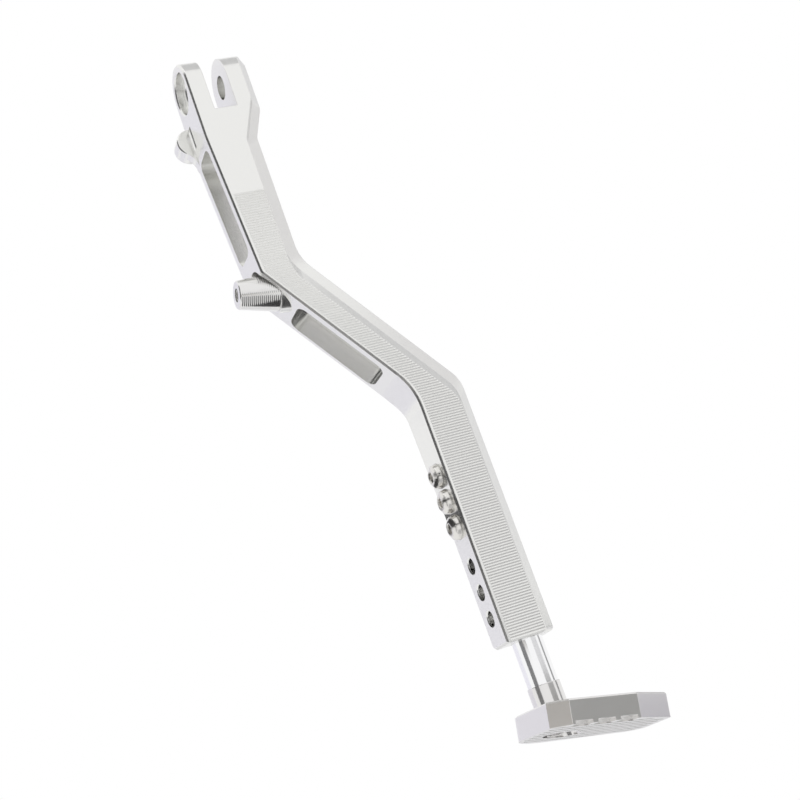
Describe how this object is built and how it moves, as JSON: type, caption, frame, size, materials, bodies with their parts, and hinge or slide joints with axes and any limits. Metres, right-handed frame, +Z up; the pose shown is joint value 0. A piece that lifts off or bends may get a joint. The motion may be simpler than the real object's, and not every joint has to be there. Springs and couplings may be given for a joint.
{
  "type": "adjustable side stand",
  "caption": "Milled alloy side stand: a cranked arm with a slotted pivot head, ribbed front and kick peg, and a round leg with a tilted foot that slides in the arm's clamped lower end.",
  "frame": {"origin": "on the pivot axis, midway between the inner faces of the ears", "axes": "+X along the pivot axis from the seat ear to the plain ear, -Y out of the ribbed front face, +Z up, with the leg straight down"},
  "size_m": [0.1059, 0.0487, 0.3213],
  "materials": {
    "arm_alloy": "satin milled",
    "foot_alloy": "satin milled",
    "polished_steel": "polished",
    "peg_steel": "turned, bright",
    "screw_steel": "bright"
  },
  "bodies": {
    "arm_body": {"arm": "arm_alloy", "kick_peg": "peg_steel", "clamp_screws": "screw_steel"},
    "leg_body": {"leg": "polished_steel", "foot": "foot_alloy", "foot_screw": "screw_steel"}
  },
  "joints": [
    {"name": "leg_slide", "type": "slide", "parent": "arm_body", "child": "leg_body", "axis": [0, 0, -1], "range_m": [-0.018, 0.038]}
  ]
}
